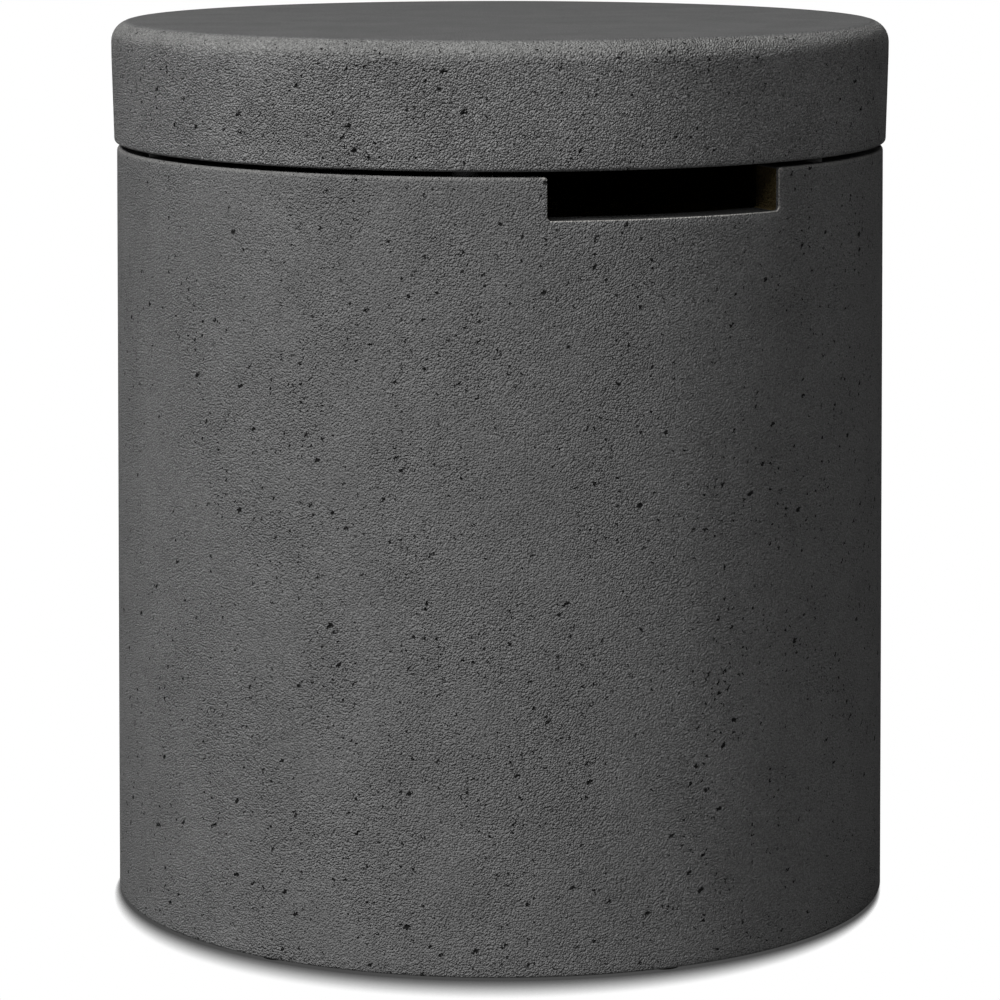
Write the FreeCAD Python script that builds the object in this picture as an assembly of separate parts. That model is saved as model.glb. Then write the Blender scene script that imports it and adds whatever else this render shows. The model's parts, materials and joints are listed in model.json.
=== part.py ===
import FreeCAD, Part
import math
import os
from FreeCAD import Vector

# A round table that hides a gas cylinder: a drafted cast body, open at the rim and at the foot, and a
# separate cast lid that rests on rubber bumpers. The hose leaves through a slot cut down from the rim.
# Millimetres, +Z up, origin on the floor under the centre of the body, the slot facing -Y.

# Body shell
body_height = 438.0
body_rim_radius = 222.2
body_draft = 4.8
body_wall = 11.0
rim_flange_width = 25.0
rim_flange_height = 50.0
foot_flange_width = 24.0
foot_flange_height = 28.0
flange_taper_height = 22.0
rim_edge_radius = 2.0
foot_edge_radius = 1.5

# Hose slot in the rim
slot_width = 140.0
slot_depth = 23.5
slot_corner_radius = 4.0

# Lid shell
lid_height = 69.5
lid_overhang = 2.5
lid_side_draft = 1.0
lid_widest_height = 49.0
lid_side_blend_radius = 150.0
lid_top_edge_radius = 12.0
lid_lower_edge_radius = 2.0
lid_slab_thickness = 15.0
lid_inner_corner_radius = 10.0
skirt_set_back = 4.5

# Rubber bumpers between the rim and the lid
lid_gap = 3.0
bumper_count = 6
bumper_radius = 7.0
bumper_recess_depth = 1.0
bumper_slot_margin = 38.5

# Rubber pads under the foot
foot_pad_count = 6
foot_pad_radius = 9.0
foot_pad_proud = 1.5
foot_pad_recess_depth = 1.5

# Cleats inside the lid that keep it centred on the mouth
cleat_places = 6
cleat_width = 50.0
cleat_height_in_lid = 34.0
cleat_drop_into_mouth = 18.0
cleat_tongue_thickness = 8.0
cleat_lead_in = 4.0
cleat_step_height = 2.0
cleat_edge_radius = 1.5

# Screws that hold the cleats, and the plugs that they bite into
screw_height_in_lid = 19.0
screw_edge_distance = 11.0
screw_shank_radius = 2.0
screw_head_radius = 4.2
screw_head_height = 2.6
screw_head_round = 1.0
screw_seat_depth = 1.2
screw_tip_short = 2.0
screw_tip_length = 2.0
screw_tip_end_radius = 0.5
anchor_radius = 4.0
anchor_cover = 9.0

# Clearances
recess_clearance = 0.2
mouth_clearance = 2.5
cleat_seat_clearance = 0.2
shank_clearance = 0.3
thread_clearance = 0.05
head_clearance = 0.8
anchor_clearance = 0.05
anchor_end_clearance = 0.5

# How far a cutting solid reaches past the face that it cuts
cut_margin = 5.0

# Heights and radii that follow from the sizes above
foot_z = foot_pad_proud
rim_z = foot_z + body_height
lid_bottom_z = rim_z + lid_gap
lid_top_z = lid_bottom_z + lid_height
slab_under_z = lid_top_z - lid_slab_thickness
body_foot_radius = body_rim_radius + body_draft
mouth_radius = body_rim_radius - rim_flange_width
foot_opening_radius = body_foot_radius - foot_flange_width
lid_radius = body_rim_radius + lid_overhang
lid_lower_radius = lid_radius - lid_side_draft
skirt_inner_radius = mouth_radius + skirt_set_back
bumper_circle_radius = body_rim_radius - rim_flange_width / 2
foot_pad_circle_radius = body_foot_radius - foot_flange_width / 2
cleat_outer_radius = skirt_inner_radius - cleat_seat_clearance
tongue_outer_radius = mouth_radius - mouth_clearance
cleat_inner_radius = tongue_outer_radius - cleat_tongue_thickness
screw_seat_radius = cleat_inner_radius + screw_seat_depth
anchor_length = lid_lower_radius - skirt_inner_radius - anchor_cover - anchor_end_clearance
screw_length = skirt_inner_radius + anchor_length - screw_tip_short - screw_seat_radius
screw_z = lid_bottom_z + screw_height_in_lid

UP = Vector(0, 0, 1)
AXIS_FOOT = Vector(0, 0, 0)


def body_radius_at(z):
    """Outer radius of the drafted body at height z."""
    return body_foot_radius - body_draft * (z - foot_z) / body_height


def rounded_face(corners):
    """Closed face in the XZ plane through corners (r, z, rounding), each rounded by an arc."""
    points = [Vector(r, 0, z) for r, z, rounding in corners]
    edges = []
    arc_ends = []
    for index, corner in enumerate(points):
        rounding = corners[index][2]
        towards_last = (points[index - 1] - corner).normalize()
        towards_next = (points[(index + 1) % len(points)] - corner).normalize()
        half_angle = towards_last.getAngle(towards_next) / 2
        if rounding == 0:
            arc_ends.append((corner, corner))
            continue
        tangent_length = rounding / math.tan(half_angle)
        first = corner + towards_last * tangent_length
        last = corner + towards_next * tangent_length
        bisector = (towards_last + towards_next).normalize()
        middle = corner + bisector * (rounding / math.sin(half_angle) - rounding)
        edges.append(Part.Arc(first, middle, last).toShape())
        arc_ends.append((first, last))
    for index in range(len(corners)):
        start = arc_ends[index - 1][1]
        end = arc_ends[index][0]
        edges.append(Part.LineSegment(start, end).toShape())
    return Part.Face(Part.Wire(Part.__sortEdges__(edges)))


def turned(corners):
    """Solid of revolution about the vertical axis, from a rounded profile."""
    return rounded_face(corners).revolve(AXIS_FOOT, UP, 360)


def place_on_circle(shape, angle):
    """Copy of a shape made facing -Y, turned about the vertical axis by an angle in degrees."""
    copy = shape.copy()
    copy.rotate(AXIS_FOOT, UP, angle)
    return copy


def upright_disc(radius, height, circle_radius, z):
    """Disc with its axis upright, centred on a circle of the table at its front."""
    return Part.makeCylinder(radius, height, Vector(0, -circle_radius, z), UP)


def radial_rod(radius, length, start_radius, z):
    """Rod pointing straight out from the axis at the front, from a given radius."""
    return Part.makeCylinder(radius, length, Vector(0, -start_radius, z), Vector(0, -1, 0))


def bumper_angles():
    """Angles of the bumpers, spread over the rim that the slot leaves."""
    slot_half_angle = math.degrees(math.asin(slot_width / 2 / bumper_circle_radius))
    first = slot_half_angle + math.degrees(bumper_slot_margin / bumper_circle_radius)
    step = (360 - 2 * first) / (bumper_count - 1)
    return [first + step * number for number in range(bumper_count)]


def foot_pad_angles():
    """Angles of the foot pads, evenly round the foot."""
    return [360 / foot_pad_count * number for number in range(foot_pad_count)]


def cleat_angles():
    """Angles of the cleats, evenly round the skirt, with the place behind the slot left free."""
    return [360 / cleat_places * number for number in range(1, cleat_places)]


def screw_offset():
    """Angle between the middle of a cleat and each of its two screws."""
    half_pitch = cleat_width / 2 - screw_edge_distance
    return math.degrees(math.asin(half_pitch / cleat_outer_radius))


def screw_angles():
    """Angles of the screws, two to each cleat."""
    return [angle + side * screw_offset() for angle in cleat_angles() for side in (-1, 1)]


def bumper_recess_cutter():
    """Cutter for the recess that holds one bumper."""
    radius = bumper_radius + recess_clearance
    height = bumper_recess_depth + cut_margin
    return upright_disc(radius, height, bumper_circle_radius, rim_z - bumper_recess_depth)


def foot_pad_recess_cutter():
    """Cutter for the recess that holds one foot pad."""
    radius = foot_pad_radius + recess_clearance
    height = foot_pad_recess_depth + cut_margin
    return upright_disc(radius, height, foot_pad_circle_radius, foot_z - cut_margin)


def slot_cutter():
    """Cutter for the hose slot: a box from outside the front wall to the axis, with round lower edges."""
    depth = body_foot_radius + cut_margin
    corner = Vector(-slot_width / 2, -depth, rim_z - slot_depth)
    block = Part.makeBox(slot_width, depth, slot_depth + cut_margin, corner)
    lower_edges = []
    for edge in block.Edges:
        centre = edge.CenterOfMass
        at_floor = abs(centre.z - corner.z) < 0.001
        at_jamb = abs(abs(centre.x) - slot_width / 2) < 0.001
        if at_floor and at_jamb:
            lower_edges.append(edge)
    return block.makeFillet(slot_corner_radius, lower_edges)


def make_body_shell():
    """Drafted body: a thin wall between a thick rim flange and a thick foot flange."""
    flange_low_z = rim_z - rim_flange_height
    taper_low_z = flange_low_z - flange_taper_height
    foot_flange_z = foot_z + foot_flange_height
    foot_taper_z = foot_flange_z + flange_taper_height
    shell = turned([
        (body_foot_radius, foot_z, foot_edge_radius),
        (body_rim_radius, rim_z, rim_edge_radius),
        (mouth_radius, rim_z, rim_edge_radius),
        (mouth_radius, flange_low_z, 0),
        (body_radius_at(taper_low_z) - body_wall, taper_low_z, 0),
        (body_radius_at(foot_taper_z) - body_wall, foot_taper_z, 0),
        (foot_opening_radius, foot_flange_z, 0),
        (foot_opening_radius, foot_z, foot_edge_radius),
    ])
    cutters = [slot_cutter()]
    cutters += [place_on_circle(bumper_recess_cutter(), angle) for angle in bumper_angles()]
    cutters += [place_on_circle(foot_pad_recess_cutter(), angle) for angle in foot_pad_angles()]
    return shell.cut(cutters)


def make_lid_shell():
    """Lid: a flat slab with a bullnose edge and a deep skirt, bored for the cleats' plugs."""
    lid = turned([
        (0, slab_under_z, 0),
        (skirt_inner_radius, slab_under_z, lid_inner_corner_radius),
        (skirt_inner_radius, lid_bottom_z, lid_lower_edge_radius),
        (lid_lower_radius, lid_bottom_z, lid_lower_edge_radius),
        (lid_radius, lid_bottom_z + lid_widest_height, lid_side_blend_radius),
        (lid_radius, lid_top_z, lid_top_edge_radius),
        (0, lid_top_z, 0),
    ])
    hole_length = anchor_length + anchor_end_clearance + cut_margin
    hole_start = skirt_inner_radius - cut_margin
    hole = radial_rod(anchor_radius + anchor_clearance, hole_length, hole_start, screw_z)
    return lid.cut([place_on_circle(hole, angle) for angle in screw_angles()])


def make_lid_bumper():
    """Rubber disc that stands in the rim and carries the lid."""
    height = bumper_recess_depth + lid_gap
    return upright_disc(bumper_radius, height, bumper_circle_radius, rim_z - bumper_recess_depth)


def make_foot_pad():
    """Rubber disc under the foot."""
    height = foot_pad_proud + foot_pad_recess_depth
    return upright_disc(foot_pad_radius, height, foot_pad_circle_radius, foot_z - foot_pad_proud)


def make_cleat():
    """Moulded block inside the skirt, with a tongue that hangs into the mouth of the body."""
    step_z = lid_bottom_z + cleat_step_height
    top_z = lid_bottom_z + cleat_height_in_lid
    low_z = rim_z - cleat_drop_into_mouth
    ring = turned([
        (cleat_inner_radius, top_z, cleat_edge_radius),
        (cleat_outer_radius, top_z, 0),
        (cleat_outer_radius, step_z, 0),
        (tongue_outer_radius, step_z, 0),
        (tongue_outer_radius, low_z + cleat_lead_in, 0),
        (tongue_outer_radius - cleat_lead_in, low_z, 0),
        (cleat_inner_radius, low_z, cleat_edge_radius),
    ])
    depth = cleat_outer_radius + cut_margin
    height = top_z - low_z + 2 * cut_margin
    block_corner = Vector(-cleat_width / 2, -depth, low_z - cut_margin)
    block = Part.makeBox(cleat_width, depth, height, block_corner)
    start = cleat_inner_radius - cut_margin
    through = cleat_outer_radius - cleat_inner_radius + 2 * cut_margin
    hole = radial_rod(screw_shank_radius + shank_clearance, through, start, screw_z)
    seat = radial_rod(screw_head_radius + head_clearance, screw_seat_radius - start, start, screw_z)
    cutters = [place_on_circle(tool, side * screw_offset()) for tool in (hole, seat) for side in (-1, 1)]
    return ring.common(block).cut(cutters)


def make_screw():
    """Pan-head screw pointing out through a cleat, with a pointed tip."""
    head = turned([
        (0, 0, 0),
        (screw_head_radius, 0, 0),
        (screw_head_radius, screw_head_height, screw_head_round),
        (0, screw_head_height, 0),
    ])
    shank = Part.makeCylinder(screw_shank_radius, screw_length - screw_tip_length, AXIS_FOOT, -UP)
    tip_start = Vector(0, 0, screw_tip_length - screw_length)
    tip = Part.makeCone(screw_shank_radius, screw_tip_end_radius, screw_tip_length, tip_start, -UP)
    screw = head.fuse([shank, tip]).removeSplitter()
    screw.rotate(AXIS_FOOT, Vector(1, 0, 0), 90)
    screw.rotate(AXIS_FOOT, UP, 180)
    screw.translate(Vector(0, -screw_seat_radius, screw_z))
    return screw


def make_anchor():
    """Plug set in the skirt, bored through for a screw."""
    plug = radial_rod(anchor_radius, anchor_length, skirt_inner_radius, screw_z)
    bore_length = anchor_length + 2 * cut_margin
    bore_start = skirt_inner_radius - cut_margin
    bore = radial_rod(screw_shank_radius + thread_clearance, bore_length, bore_start, screw_z)
    return plug.cut(bore)


def write_part(name, shape):
    """Write one sub-part and print its size, so that a bad solid is seen at once."""
    shape.exportStep(f"parts/{name}.step")
    print(f"{name}: {len(shape.Solids)} solid(s), valid {shape.isValid()}, {shape.Volume / 1000:.2f} cm3")


def write_ring(name, shape, angles):
    """Write copies of one shape round the table, one numbered sub-part to each angle."""
    for number, angle in enumerate(angles, start=1):
        write_part(f"{name}_{number}", place_on_circle(shape, angle))


def write_group(name, shape, angles):
    """Write copies of one small shape round the table as one sub-part of separate solids."""
    write_part(name, Part.makeCompound([place_on_circle(shape, angle) for angle in angles]))


def main():
    """Build and write every sub-part."""
    os.makedirs("parts", exist_ok=True)
    write_part("body_shell", make_body_shell())
    write_part("lid_shell", make_lid_shell())
    write_ring("lid_bumper", make_lid_bumper(), bumper_angles())
    write_ring("foot_pad", make_foot_pad(), foot_pad_angles())
    write_ring("locating_cleat", make_cleat(), cleat_angles())
    write_group("cleat_screws", make_screw(), screw_angles())
    write_group("screw_anchors", make_anchor(), screw_angles())


main()
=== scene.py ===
"""Round table that hides a gas cylinder: cast body and lid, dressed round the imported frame."""

import json
import logging
import math
import random
from dataclasses import dataclass
from enum import Enum
from typing import Callable

import bmesh
import bpy
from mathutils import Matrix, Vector, noise

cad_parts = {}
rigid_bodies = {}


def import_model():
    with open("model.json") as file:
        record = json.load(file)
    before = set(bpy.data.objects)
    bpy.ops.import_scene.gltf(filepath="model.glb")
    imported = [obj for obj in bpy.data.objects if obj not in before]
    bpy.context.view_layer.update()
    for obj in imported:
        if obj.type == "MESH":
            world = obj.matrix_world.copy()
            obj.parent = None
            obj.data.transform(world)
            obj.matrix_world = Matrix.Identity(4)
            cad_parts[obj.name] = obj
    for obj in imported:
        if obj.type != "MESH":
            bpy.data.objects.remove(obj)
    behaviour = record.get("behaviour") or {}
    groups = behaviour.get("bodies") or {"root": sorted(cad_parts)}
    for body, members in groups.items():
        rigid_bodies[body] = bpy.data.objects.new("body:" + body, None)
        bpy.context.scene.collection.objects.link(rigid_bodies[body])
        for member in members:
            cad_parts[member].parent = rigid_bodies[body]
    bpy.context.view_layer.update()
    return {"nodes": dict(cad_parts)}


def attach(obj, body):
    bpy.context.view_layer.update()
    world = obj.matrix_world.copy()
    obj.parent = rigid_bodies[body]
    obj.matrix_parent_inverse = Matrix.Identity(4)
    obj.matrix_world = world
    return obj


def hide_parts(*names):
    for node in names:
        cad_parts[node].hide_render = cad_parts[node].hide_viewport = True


MM = 0.001
# Lengths closer than this count as equal.
CLOSE = 0.01 * MM
# How far a cutting tool reaches past the face it enters.
PAST = 5 * MM
# How far a vertex may lie from its column, as a share of a column.
COLUMN_SLACK = 0.2
# Corners that stand for a round: of a recess or disc, of a bore, and of a screw's head or its seat.
DISC_CORNERS = 48
BORE_CORNERS = 24
HEAD_CORNERS = 32
# Width of the patches in which the cast face is rougher and holds more pits.
PATCH = 46 * MM
# Degrees from one bumper, pad or cleat to the next.
PITCH = 60.0
PIT_LAYER = "pit"
log = logging.getLogger("table")

Points = list[Vector]
Test = Callable[[Points, Vector], bool]
Nodes = bpy.types.NodeTree
Socket = bpy.types.NodeSocket
Masks = dict[str, Socket]


class Kind(Enum):
    """What an edit-mode selection is made of; the value is bmesh's name for it."""

    VERT = "verts"
    EDGE = "edges"
    FACE = "faces"


class Body(Enum):
    """The two bodies of the frame that pieces ride on."""

    BASE = "base"
    LID = "lid"


@dataclass(frozen=True)
class Corner:
    """Corner of a turned profile, with the radius of its rounding and how many steps draw it."""

    radius: float
    z: float
    rounding: float = 0.0
    steps: int = 1

    def rounded(self, last: "Corner", following: "Corner") -> list[tuple[float, float]]:
        """Points that stand for the corner between its neighbours, as (radius, height)."""
        here = Vector((self.radius, self.z))
        if self.rounding == 0:
            return [tuple(here)]
        back = (Vector((last.radius, last.z)) - here).normalized()
        onward = (Vector((following.radius, following.z)) - here).normalized()
        half = back.angle(onward) / 2
        centre = here + (back + onward).normalized() * self.rounding / math.sin(half)
        first = here + back * self.rounding / math.tan(half) - centre
        end = here + onward * self.rounding / math.tan(half) - centre
        turn = math.atan2(first.x * end.y - first.y * end.x, first.dot(end))
        points = []
        for step in range(self.steps + 1):
            angle = turn * step / self.steps
            spoke = Vector((first.x * math.cos(angle) - first.y * math.sin(angle),
                            first.x * math.sin(angle) + first.y * math.cos(angle)))
            points.append(tuple(centre + spoke))
        return points


def turned_profile(corners: list[Corner], closed: bool) -> list[tuple[float, float]]:
    """Points of a profile whose corners are rounded.

    Args:
        corners: The profile's corners in order.
        closed: Whether the last corner is joined to the first; otherwise the end corners stay sharp.

    Returns:
        The points as (radius, height).
    """
    points = []
    for index, corner in enumerate(corners):
        following = corners[(index + 1) % len(corners)]
        at_end = index in (0, len(corners) - 1) and not closed
        points += [(corner.radius, corner.z)] if at_end else corner.rounded(corners[index - 1], following)
    return points


def deselect_objects() -> None:
    """Deselect every object, so that an operator acts on the new piece alone."""
    bpy.ops.object.select_all(action="DESELECT")


def choose_only(piece: bpy.types.Object) -> None:
    """Select one object alone and make it active."""
    deselect_objects()
    piece.select_set(True)
    bpy.context.view_layer.objects.active = piece


def apply_place(piece: bpy.types.Object) -> None:
    """Put the object's place, turn and scale into its mesh."""
    choose_only(piece)
    bpy.ops.object.transform_apply(location=True, rotation=True, scale=True)


def radius_of(point: Vector) -> float:
    """Distance of a point from the upright axis."""
    return math.hypot(point.x, point.y)


def select_where(piece: bpy.types.Object, kind: Kind, test: Test) -> int:
    """Select the elements that pass a test, and nothing else, in edit mode.

    Args:
        piece: The object in edit mode.
        kind: Whether vertices, edges or faces are tested.
        test: Takes the element's corner points and its normal, and says if it is wanted.

    Returns:
        How many elements were selected.
    """
    bpy.ops.mesh.select_mode(type=kind.name)
    bpy.ops.mesh.select_all(action="DESELECT")
    mesh = bmesh.from_edit_mesh(piece.data)
    chosen = 0
    for element in getattr(mesh, kind.value):
        points = [element.co] if kind is Kind.VERT else [vertex.co for vertex in element.verts]
        normal = Vector() if kind is Kind.EDGE else element.normal
        if test(points, normal):
            element.select_set(True)
            chosen += 1
    mesh.select_flush_mode()
    bmesh.update_edit_mesh(piece.data)
    return chosen


def mark_selected(piece: bpy.types.Object, layer_name: str) -> None:
    """Set a vertex attribute of a piece in edit mode to 1 at its selected vertices."""
    mesh = bmesh.from_edit_mesh(piece.data)
    layer = mesh.verts.layers.float.get(layer_name) or mesh.verts.layers.float.new(layer_name)
    for vertex in mesh.verts:
        if vertex.select:
            vertex[layer] = 1.0
    bmesh.update_edit_mesh(piece.data)


def turn_rings(name: str, columns: int, profile: list[tuple[float, float]]) -> bpy.types.Object:
    """Turn a profile about the upright axis by pulling rings from a circle, and stay in edit mode.

    Args:
        name: The piece's name.
        columns: How many vertices each ring has.
        profile: (radius, height) of each ring in order.

    Returns:
        The new piece, an open band with its last ring selected.
    """
    deselect_objects()
    radius, z = profile[0]
    bpy.ops.mesh.primitive_circle_add(
        vertices=columns, radius=radius, fill_type="NOTHING", location=(0, 0, z))
    piece = bpy.context.object
    piece.name = name
    apply_place(piece)
    bpy.ops.object.mode_set(mode="EDIT")
    bpy.ops.mesh.select_mode(type="EDGE")
    bpy.ops.mesh.select_all(action="SELECT")
    for next_radius, next_z in profile[1:]:
        share = next_radius / radius
        bpy.ops.mesh.extrude_edges_move(TRANSFORM_OT_translate={"value": (0, 0, next_z - z)})
        bpy.ops.transform.resize(value=(share, share, 1), center_override=(0, 0, next_z))
        radius, z = next_radius, next_z
    return piece


def subdivide_strip(piece: bpy.types.Object, ends: tuple[float, float], row: float, test: Test) -> None:
    """Cut a tall strip of quads into level rows.

    Args:
        piece: The object in edit mode.
        ends: Heights of the strip's lower and upper ring.
        row: The height that a row has at most.
        test: Says whether an upright edge lies on the right wall.
    """
    low, high = ends

    def crosses(points: Points, normal: Vector) -> bool:
        heights = sorted(point.z for point in points)
        return all(abs(z - end) < 0.1 * MM for z, end in zip(heights, (low, high))) and test(points, normal)

    select_where(piece, Kind.EDGE, crosses)
    bpy.ops.mesh.subdivide_edgering(number_cuts=math.ceil((high - low) / row) - 1, interpolation="LINEAR")


def turn_faces_outward() -> None:
    """Turn all faces outward, in edit mode."""
    bpy.ops.mesh.select_all(action="SELECT")
    bpy.ops.mesh.normals_make_consistent(inside=False)


def close_and_shade(piece: bpy.types.Object, smooth_angle: float = 32) -> None:
    """Merge doubles, leave edit mode, and shade smooth across edges up to an angle in degrees."""
    bpy.ops.mesh.select_mode(type="VERT")
    bpy.ops.mesh.select_all(action="SELECT")
    bpy.ops.mesh.remove_doubles(threshold=CLOSE)
    bpy.ops.mesh.normals_make_consistent(inside=False)
    bpy.ops.object.mode_set(mode="OBJECT")
    choose_only(piece)
    bpy.ops.object.shade_smooth_by_angle(angle=math.radians(smooth_angle))


def add_rod(radius: float, ends: tuple[Vector, Vector], corners: int) -> bpy.types.Object:
    """Add a plain rod between two points, as a tool or as the start of a piece.

    Args:
        radius: The rod's radius.
        ends: The middle points of its two end faces.
        corners: How many sides stand for its round.

    Returns:
        The rod, selected and active, with its place in its mesh.
    """
    start, end = ends
    deselect_objects()
    bpy.ops.mesh.primitive_cylinder_add(
        vertices=corners, radius=radius, depth=(end - start).length, location=(start + end) / 2,
        rotation=(end - start).to_track_quat("Z", "Y").to_euler())
    rod = bpy.context.object
    apply_place(rod)
    return rod


def join_pieces(pieces: list[bpy.types.Object]) -> bpy.types.Object:
    """Join pieces into the first one."""
    choose_only(pieces[0])
    for piece in pieces:
        piece.select_set(True)
    bpy.ops.object.join()
    return bpy.context.object


def cut_with(piece: bpy.types.Object, tools: list[bpy.types.Object]) -> None:
    """Cut tools out of a closed piece and remove them."""
    tool = join_pieces(tools)
    choose_only(piece)
    bpy.ops.object.modifier_add(type="BOOLEAN")
    cut = piece.modifiers[-1]
    cut.operation = "DIFFERENCE"
    cut.solver = "EXACT"
    cut.object = tool
    bpy.ops.object.modifier_apply(modifier=cut.name)
    bpy.data.objects.remove(tool)


def copy_turned(piece: bpy.types.Object, name: str, angle: float) -> bpy.types.Object:
    """Copy a piece with its own mesh, turned about the upright axis.

    Args:
        piece: The model to copy.
        name: The copy's name.
        angle: Degrees to turn it, counter-clockwise from above.

    Returns:
        The copy, with its place in its mesh.
    """
    choose_only(piece)
    bpy.ops.object.duplicate(linked=False)
    copy = bpy.context.object
    copy.name = name
    copy.rotation_euler = (0, 0, math.radians(angle))
    apply_place(copy)
    return copy


def front_point(radius: float, angle: float, z: float) -> Vector:
    """Point at a radius and height, turned by degrees about the upright axis from the front."""
    turn = math.radians(angle)
    return Vector((radius * math.sin(turn), -radius * math.cos(turn), z))


def linear(code: str) -> tuple[float, float, float, float]:
    """Turn an sRGB hex colour such as #5f5f5f into a linear colour with full alpha."""
    parts = [int(code[start:start + 2], 16) / 255 for start in (1, 3, 5)]
    values = [part / 12.92 if part <= 0.04045 else ((part + 0.055) / 1.055) ** 2.4 for part in parts]
    return (*values, 1.0)


def add_node(tree: Nodes, kind: str, inputs: dict | None = None, **settings: object) -> bpy.types.Node:
    """Add a shader node, set it up and fill its inputs.

    Args:
        tree: The material's node tree.
        kind: The node's type after the common prefix, such as Math.
        inputs: Input name or number, to a value or to the output socket that feeds it.
        settings: Properties of the node.

    Returns:
        The new node.
    """
    node = tree.nodes.new("ShaderNode" + kind)
    for name, value in settings.items():
        setattr(node, name, value)
    for socket, value in (inputs or {}).items():
        if isinstance(value, bpy.types.NodeSocket):
            tree.links.new(value, node.inputs[socket])
        else:
            node.inputs[socket].default_value = value
    return node


def compute(tree: Nodes, operation: str, *values: object, clamp: bool = False, kind: str = "Math") -> Socket:
    """Add a Math or VectorMath node over values or sockets and return its first output."""
    settings = {"use_clamp": True} if clamp else {}
    return add_node(tree, kind, dict(enumerate(values)), operation=operation, **settings).outputs[0]


def remap(tree: Nodes, value: Socket, source: tuple[float, float],
          target: tuple[float, float] = (0.0, 1.0)) -> Socket:
    """Add a node that carries one range over to another, held at the ends, and return its result."""
    ends = {"From Min": source[0], "From Max": source[1], "To Min": target[0], "To Max": target[1]}
    return add_node(tree, "MapRange", {"Value": value, **ends}).outputs[0]


def blend(tree: Nodes, share: Socket, first: object, second: object) -> Socket:
    """Add a node that goes from one colour to another, given as sockets or hex codes."""
    first, second = (linear(colour) if isinstance(colour, str) else colour for colour in (first, second))
    return add_node(tree, "Mix", {0: share, 6: first, 7: second}, data_type="RGBA").outputs[2]


def scaled(tree: Nodes, colour: Socket, factor: Socket) -> Socket:
    """Add a node that makes a colour lighter or darker by a factor."""
    return add_node(tree, "VectorMath", {0: colour, "Scale": factor}, operation="SCALE").outputs[0]


def cloud_noise(tree: Nodes, place: Socket, size: float, output: str = "Fac", **inputs: float) -> Socket:
    """Add noise whose patches are about as wide as a size in metres."""
    return add_node(tree, "TexNoise", {"Vector": place, "Scale": 1 / size, **inputs}).outputs[output]


def cells(tree: Nodes, place: Socket, size: float, output: str) -> Socket:
    """Add a net of cells about as wide as a size in metres."""
    return add_node(tree, "TexVoronoi", {"Vector": place, "Scale": 1 / size}).outputs[output]


def red_of(tree: Nodes, colour: Socket) -> Socket:
    """Add a node that takes the red of a colour, used as a chance number."""
    return add_node(tree, "SeparateColor", {"Color": colour}).outputs["Red"]


def seen_directly(tree: Nodes) -> Socket:
    """Add a mask that is 1 to the camera, in reflections and through glass, and 0 for light that lands."""
    rays = add_node(tree, "LightPath").outputs
    seen = compute(tree, "MAXIMUM", rays["Is Camera Ray"], rays["Is Glossy Ray"])
    return compute(tree, "MAXIMUM", seen, rays["Is Transmission Ray"])


def new_material(name: str) -> tuple[bpy.types.Material, Nodes]:
    """Make an empty node material and return it with its tree."""
    material = bpy.data.materials.new(name)
    material.use_nodes = True
    material.node_tree.nodes.clear()
    return material, material.node_tree


def give_material(piece: bpy.types.Object, material: bpy.types.Material) -> None:
    """Make a material the only one of a piece."""
    piece.data.materials.clear()
    piece.data.materials.append(material)


@dataclass(frozen=True)
class PitSize:
    """One size of pit that air bubbles leave in a cast face."""

    count: int
    radius: float
    depth: float
    segments: int
    seed: int
    crowding: float = 0.3
    slope: float = 0.12
    unevenness: float = 0.3

    def sink(self, piece: bpy.types.Object, allowed: Callable[[Vector], bool]) -> int:
        """Sink pits of this size at random places of a piece in edit mode, closer together in some patches.

        Args:
            piece: The object in edit mode.
            allowed: Says whether a point of the surface may hold a pit.

        Returns:
            How many pits were made.
        """
        bpy.ops.mesh.select_mode(type="VERT")
        bpy.ops.mesh.select_all(action="DESELECT")
        mesh = bmesh.from_edit_mesh(piece.data)
        mesh.verts.index_update()
        places = [vertex for vertex in mesh.verts if len(vertex.link_faces) == 4 and allowed(vertex.co)]
        places.sort(key=lambda vertex: [round(part / MM, 2) for part in vertex.co.zxy])
        chance = random.Random(self.seed)
        chance.shuffle(places)
        taken: set[int] = set()
        made = 0
        for vertex in places:
            if made == self.count:
                break
            around = {corner.index for face in vertex.link_faces for corner in face.verts}
            if around & taken or any(len(face.verts) != 4 for face in vertex.link_faces):
                continue
            if noise.noise(vertex.co / PATCH) < chance.uniform(-self.crowding, self.crowding):
                continue
            taken |= around
            vertex.select_set(True)
            made += 1
        bmesh.update_edit_mesh(piece.data)
        bpy.ops.mesh.bevel(offset=self.radius, affect="VERTICES", segments=self.segments, profile=0.5)
        bpy.ops.mesh.select_mode(type="FACE")
        bpy.ops.mesh.inset(thickness=self.slope * self.radius, depth=-self.depth, use_individual=True)
        bpy.ops.mesh.select_mode(type="VERT")
        bpy.ops.transform.vertex_random(offset=self.unevenness * self.radius, seed=self.seed)
        # Mark the pit floors, which the finish paints dark as painted shade.
        mark_selected(piece, PIT_LAYER)
        return made


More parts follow.
